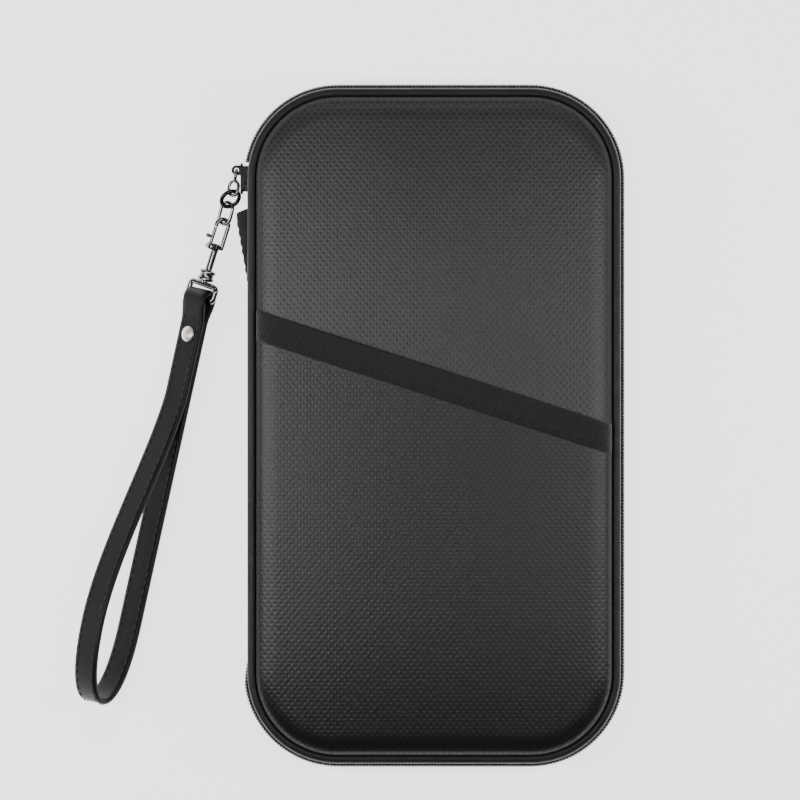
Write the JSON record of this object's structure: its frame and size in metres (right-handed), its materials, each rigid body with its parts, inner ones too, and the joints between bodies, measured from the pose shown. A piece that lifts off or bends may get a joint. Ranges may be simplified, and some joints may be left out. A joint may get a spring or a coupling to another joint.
{
  "type": "travel document organizer",
  "caption": "Slim zip-around travel document organizer with padded covers, a slanted outer slip pocket, inner pockets and a leather wrist strap on a snap hook.",
  "frame": {"origin": "centre of the flat outer face of the back cover, on which the closed case lies", "axes": "+Z out of the front cover, +Y towards the top edge, +X towards the long edge that opens"},
  "size_m": [0.1963, 0.2434, 0.0265],
  "materials": {
    "dark_weave": "padded textured fabric, near black",
    "grey_weave": "padded textured fabric, dark warm grey",
    "board": "grey-brown fibre board, hidden",
    "lining": "smooth woven lining, dark grey",
    "pocket_cloth": "woven pocket cloth, dark grey",
    "card_cloth": "woven card pocket cloth, dark grey",
    "piping": "smooth coated piping, dark grey",
    "tape": "black woven zipper tape",
    "coil": "black nylon coil",
    "webbing": "ribbed black webbing",
    "strap_leather": "smooth black leather, stitched edges",
    "nickel": "polished nickel plating",
    "rivet_metal": "polished pale nickel",
    "black_metal": "gloss black plated wire"
  },
  "bodies": {
    "back_half": {"back_panel": "dark_weave", "back_board": "board", "back_lining": "lining", "back_piping": "piping", "zipper_tape_back": "tape", "zipper_coil_back": "coil", "zipper_end_tab": "piping", "ticket_pocket": "pocket_cloth", "passport_pocket": "pocket_cloth"},
    "spine": {"spine_panel": "piping", "spine_lining": "lining"},
    "front_half": {"front_panel": "grey_weave", "front_board": "board", "front_lining": "lining", "front_piping": "piping", "zipper_tape_front": "tape", "zipper_coil_front": "coil", "front_pocket": "dark_weave", "pocket_webbing": "webbing", "note_pocket": "pocket_cloth", "card_slot_1": "card_cloth", "card_slot_2": "card_cloth", "card_slot_3": "card_cloth"},
    "slider": {"zipper_slider": "nickel"},
    "pull": {"zipper_pull": "nickel"},
    "ring": {"split_ring": "black_metal"},
    "link": {"oval_link": "nickel"},
    "hook": {"hook_body": "nickel", "gate_pin": "nickel"},
    "gate": {"hook_gate": "nickel"},
    "swivel": {"swivel_ring": "nickel"},
    "strap": {"wrist_strap": "strap_leather", "strap_rivet": "rivet_metal"}
  },
  "joints": [
    {"name": "cover_fold", "type": "hinge", "parent": "spine", "child": "front_half", "pos_m": [-0.0648, 0, 0.0195], "axis": [0, -1, 0], "range_deg": [0, 105]},
    {"name": "spine_fold", "type": "hinge", "parent": "back_half", "child": "spine", "pos_m": [-0.0648, 0, 0.0055], "axis": [0, -1, 0], "range_deg": [0, 25]},
    {"name": "slider_run", "type": "hinge", "parent": "back_half", "child": "slider", "pos_m": [-0.0343, 0.088, 0.0125], "axis": [0, 0, -1], "range_deg": [0, 90], "deforming": ["zipper_coil_back", "zipper_coil_front"]},
    {"name": "pull_swing", "type": "hinge", "parent": "slider", "child": "pull", "pos_m": [-0.0704, 0.091, 0.0125], "axis": [0, 0, -1], "range_deg": [0, 140]},
    {"name": "ring_swing", "type": "hinge", "parent": "pull", "child": "ring", "pos_m": [-0.07195, 0.08203, 0.0125], "axis": [-0.8565, 0.1478, -0.4945], "range_deg": [0, 15]},
    {"name": "link_swing", "type": "hinge", "parent": "ring", "child": "link", "pos_m": [-0.07372, 0.07812, 0.00897], "axis": [-0.8661, -0.0001, 0.4998], "range_deg": [0, 30]},
    {"name": "hook_swing", "type": "hinge", "parent": "link", "child": "hook", "pos_m": [-0.07539, 0.07202, 0.008], "axis": [-0.8261, 0.3001, -0.477], "range_deg": [0, 12]},
    {"name": "gate_swing", "type": "hinge", "parent": "hook", "child": "gate", "pos_m": [-0.08003, 0.06427, 0.00844], "axis": [-0.3747, 0.1739, -0.9107], "range_deg": [0, 16], "stiffness_Nm_per_rad": 0.00002, "springref_deg": -5.73},
    {"name": "swivel_turn", "type": "hinge", "parent": "hook", "child": "swivel", "pos_m": [-0.0806, 0.0555, 0.007], "axis": [-0.3006, -0.952, -0.0581], "continuous": true},
    {"name": "strap_swing", "type": "hinge", "parent": "swivel", "child": "strap", "pos_m": [-0.08378, 0.04546, 0.00638], "axis": [-0.7465, 0.1727, -0.6426], "range_deg": [0, 45]}
  ],
  "couplings": [
    {"joint": "spine_fold", "follows": "cover_fold", "ratio": 0.238}
  ]
}
